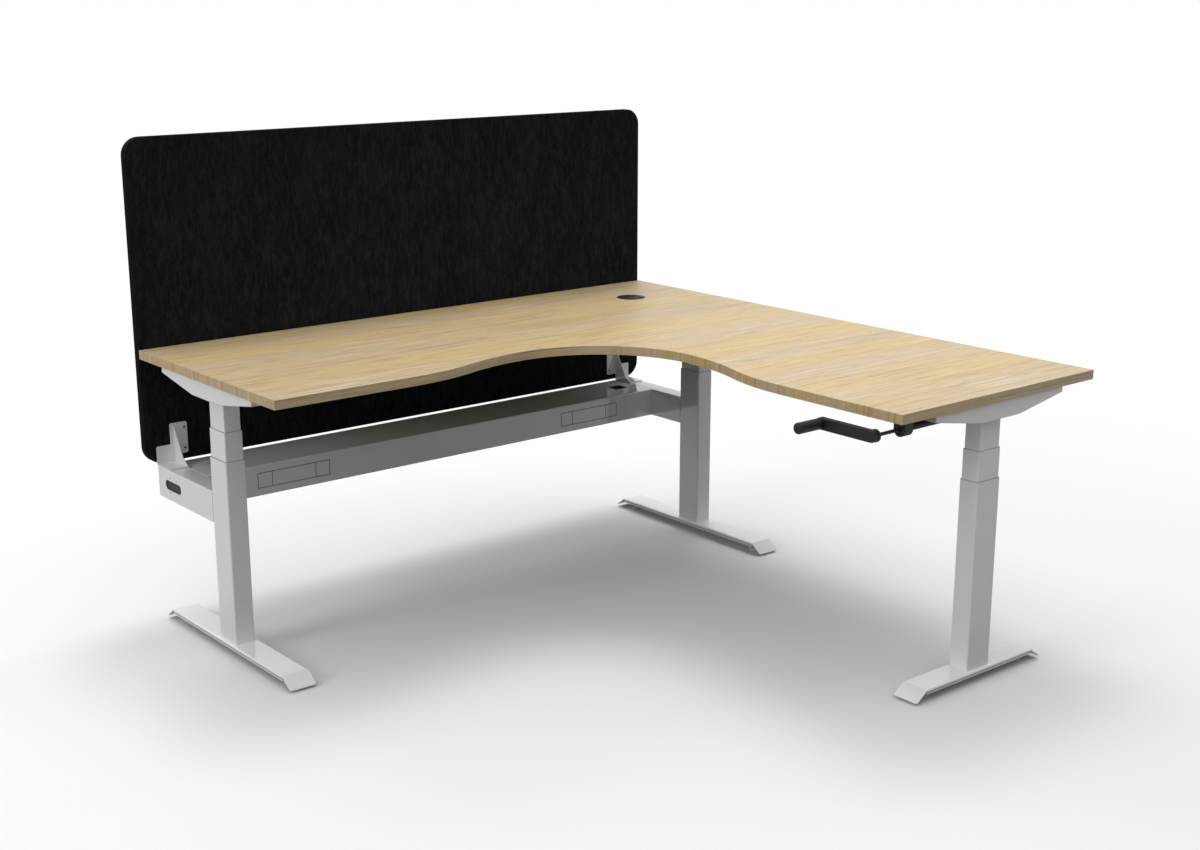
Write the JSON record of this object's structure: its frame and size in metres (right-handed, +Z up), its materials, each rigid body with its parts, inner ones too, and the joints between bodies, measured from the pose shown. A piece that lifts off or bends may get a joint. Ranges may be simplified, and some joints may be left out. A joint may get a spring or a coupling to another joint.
{
  "type": "cubicle workstation",
  "caption": "L-shaped corner desk with a crank-lifted top on telescopic legs, a cable beam between arms and a rounded felt screen.",
  "frame": {"origin": "centre of the whole outline on the floor", "axes": "+Z up, +Y from the user towards the screen at the back, +X to the right, along the screen, towards the corner leg"},
  "size_m": [1.8, 1.829, 1.347],
  "materials": {
    "white_steel": "satin powder coat",
    "bright_steel": "plain turned steel",
    "black_steel": "blackened steel",
    "cast_housing": "cast, matt grey",
    "dark_plastic": "fine matt grain",
    "white_plastic": "satin",
    "clear_plastic": "milky, part translucent",
    "oak_laminate": "matt light oak laminate",
    "oak_edge": "matt edge band",
    "screen_board": "raw pin board",
    "black_felt": "matt felt"
  },
  "bodies": {
    "lower_frame": {"left_foot": "white_steel", "corner_foot": "white_steel", "right_foot": "white_steel", "levelling_glides": "clear_plastic", "left_outer_tube": "white_steel", "corner_outer_tube": "white_steel", "right_outer_tube": "white_steel", "screw_pillars": "bright_steel", "pillar_nuts": "white_plastic", "outer_guides": "white_plastic", "cable_beam": "white_steel", "module_blanks": "white_steel", "left_arm": "white_steel", "right_arm": "white_steel", "left_screen_bracket": "white_steel", "right_screen_bracket": "white_steel", "screen_core": "screen_board", "screen_front_cover": "black_felt", "screen_back_cover": "black_felt", "screen_edge_trim": "dark_plastic"},
    "desk": {"desktop": "oak_laminate", "desktop_edge_band": "oak_edge", "cable_port_ring": "dark_plastic", "left_side_bracket": "white_steel", "corner_side_bracket": "white_steel", "right_side_bracket": "white_steel", "left_inner_tube": "white_steel", "corner_inner_tube": "white_steel", "right_inner_tube": "white_steel", "inner_guides": "white_plastic", "leg_gearboxes": "cast_housing", "mitre_gearbox": "cast_housing", "long_rails": "white_steel", "wing_rails": "white_steel", "crank_bearing": "dark_plastic"},
    "left_middle": {"left_middle_tube": "white_steel", "left_carrier": "white_plastic"},
    "left_lower_spindle": {"left_hollow_screw": "bright_steel"},
    "left_upper_spindle": {"left_upper_screw": "bright_steel"},
    "corner_middle": {"corner_middle_tube": "white_steel", "corner_carrier": "white_plastic"},
    "corner_lower_spindle": {"corner_hollow_screw": "bright_steel"},
    "corner_upper_spindle": {"corner_upper_screw": "bright_steel"},
    "right_middle": {"right_middle_tube": "white_steel", "right_carrier": "white_plastic"},
    "right_lower_spindle": {"right_hollow_screw": "bright_steel"},
    "right_upper_spindle": {"right_upper_screw": "bright_steel"},
    "long_rod": {"long_drive_rod": "bright_steel"},
    "wing_rod": {"wing_drive_rod": "bright_steel"},
    "crank_tube": {"crank_drive_tube": "black_steel"},
    "crank_handle": {"crank_rod": "black_steel", "crank_arm": "dark_plastic", "crank_grip_pin": "bright_steel"},
    "grip": {"crank_grip": "dark_plastic"},
    "port_lid": {"cable_port_lid": "dark_plastic"}
  },
  "joints": [
    {"name": "desk_lift", "type": "slide", "parent": "lower_frame", "child": "desk", "axis": [0, 0, 1], "range_m": [-0.14, 0.5]},
    {"name": "left_middle_slide", "type": "slide", "parent": "lower_frame", "child": "left_middle", "axis": [0, 0, 1], "range_m": [-0.07, 0.25]},
    {"name": "left_lower_spindle_turn", "type": "hinge", "parent": "left_middle", "child": "left_lower_spindle", "pos_m": [-0.839, 0.5175, 0.6], "axis": [0, 0, 1], "range_deg": [-5040, 18000]},
    {"name": "left_upper_spindle_turn", "type": "hinge", "parent": "desk", "child": "left_upper_spindle", "pos_m": [-0.839, 0.5175, 0.7], "axis": [0, 0, 1], "range_deg": [-5040, 18000]},
    {"name": "corner_middle_slide", "type": "slide", "parent": "lower_frame", "child": "corner_middle", "axis": [0, 0, 1], "range_m": [-0.07, 0.25]},
    {"name": "corner_lower_spindle_turn", "type": "hinge", "parent": "corner_middle", "child": "corner_lower_spindle", "pos_m": [0.83, 0.5175, 0.6], "axis": [0, 0, 1], "range_deg": [-5040, 18000]},
    {"name": "corner_upper_spindle_turn", "type": "hinge", "parent": "desk", "child": "corner_upper_spindle", "pos_m": [0.83, 0.5175, 0.7], "axis": [0, 0, 1], "range_deg": [-5040, 18000]},
    {"name": "right_middle_slide", "type": "slide", "parent": "lower_frame", "child": "right_middle", "axis": [0, 0, 1], "range_m": [-0.07, 0.25]},
    {"name": "right_lower_spindle_turn", "type": "hinge", "parent": "right_middle", "child": "right_lower_spindle", "pos_m": [0.532, -0.8535, 0.6], "axis": [0, 0, 1], "range_deg": [-5040, 18000]},
    {"name": "right_upper_spindle_turn", "type": "hinge", "parent": "desk", "child": "right_upper_spindle", "pos_m": [0.532, -0.8535, 0.7], "axis": [0, 0, 1], "range_deg": [-5040, 18000]},
    {"name": "long_rod_turn", "type": "hinge", "parent": "desk", "child": "long_rod", "pos_m": [0, 0.5175, 0.717], "axis": [1, 0, 0], "range_deg": [-5040, 18000]},
    {"name": "wing_rod_turn", "type": "hinge", "parent": "desk", "child": "wing_rod", "pos_m": [0.532, 0, 0.717], "axis": [0, 1, 0], "range_deg": [-5040, 18000]},
    {"name": "crank_turn", "type": "hinge", "parent": "desk", "child": "crank_tube", "pos_m": [0.25, -0.8535, 0.717], "axis": [1, 0, 0], "range_deg": [-5040, 18000]},
    {"name": "crank_push_in", "type": "slide", "parent": "crank_tube", "child": "crank_handle", "axis": [1, 0, 0], "range_m": [0, 0.045]},
    {"name": "grip_spin", "type": "hinge", "parent": "crank_handle", "child": "grip", "pos_m": [0.07, -0.6935, 0.717], "axis": [1, 0, 0], "continuous": true},
    {"name": "port_lid_lift", "type": "slide", "parent": "desk", "child": "port_lid", "axis": [0, 0, 1], "range_m": [0, 0.06]}
  ],
  "couplings": [
    {"joint": "left_middle_slide", "follows": "desk_lift", "ratio": 0.5},
    {"joint": "corner_middle_slide", "follows": "desk_lift", "ratio": 0.5},
    {"joint": "right_middle_slide", "follows": "desk_lift", "ratio": 0.5},
    {"joint": "left_lower_spindle_turn", "follows": "desk_lift", "rad_per_m": 628.32},
    {"joint": "left_upper_spindle_turn", "follows": "desk_lift", "rad_per_m": 628.32},
    {"joint": "corner_lower_spindle_turn", "follows": "desk_lift", "rad_per_m": 628.32},
    {"joint": "corner_upper_spindle_turn", "follows": "desk_lift", "rad_per_m": 628.32},
    {"joint": "right_lower_spindle_turn", "follows": "desk_lift", "rad_per_m": 628.32},
    {"joint": "right_upper_spindle_turn", "follows": "desk_lift", "rad_per_m": 628.32},
    {"joint": "long_rod_turn", "follows": "desk_lift", "rad_per_m": 628.32},
    {"joint": "wing_rod_turn", "follows": "desk_lift", "rad_per_m": 628.32},
    {"joint": "crank_turn", "follows": "desk_lift", "rad_per_m": 628.32}
  ]
}
